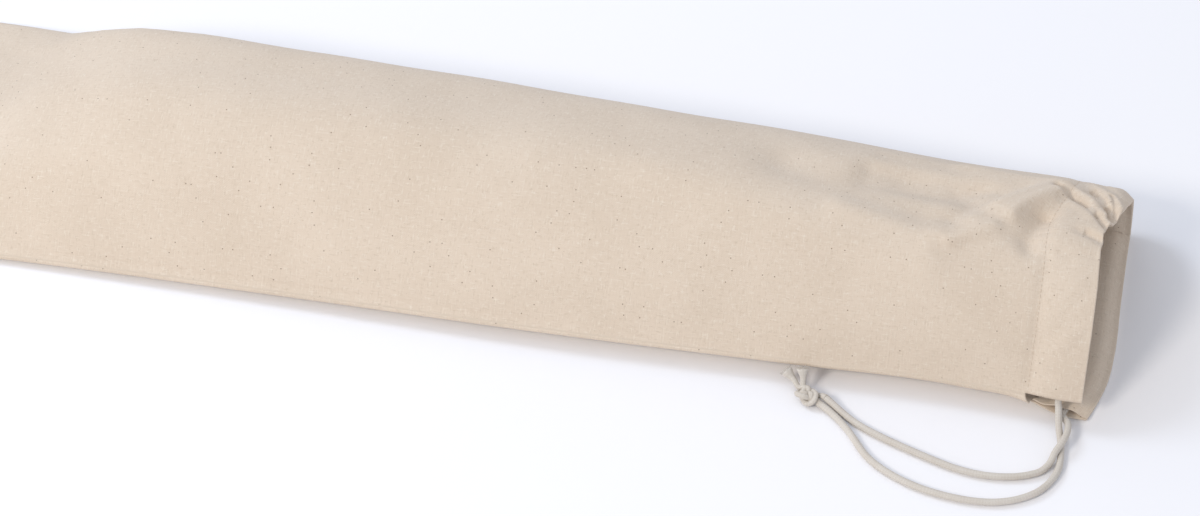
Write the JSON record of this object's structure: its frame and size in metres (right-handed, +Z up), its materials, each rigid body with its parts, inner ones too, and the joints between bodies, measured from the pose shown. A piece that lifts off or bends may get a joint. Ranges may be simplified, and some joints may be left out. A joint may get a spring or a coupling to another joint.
{
  "type": "linen bread bag",
  "caption": "Long drawstring cloth pouch lying on its side, hollow and open at its hemmed mouth, with a cord tied in a knot.",
  "frame": {"origin": "middle of the underside of the bag's box, on the surface that it lies on", "axes": "+X along the bag to its mouth, -Y the near long edge with the seam and the drawcord, +Z up"},
  "size_m": [0.6706, 0.2162, 0.0687],
  "materials": {
    "cloth": "unbleached plain weave with seed flecks",
    "cord": "soft round cotton cord"
  },
  "bodies": {
    "root": {"bag": "cloth", "cord_in_hem": "cord", "tail_front": "cord", "tail_back": "cord", "knot": "cord"}
  },
  "joints": []
}
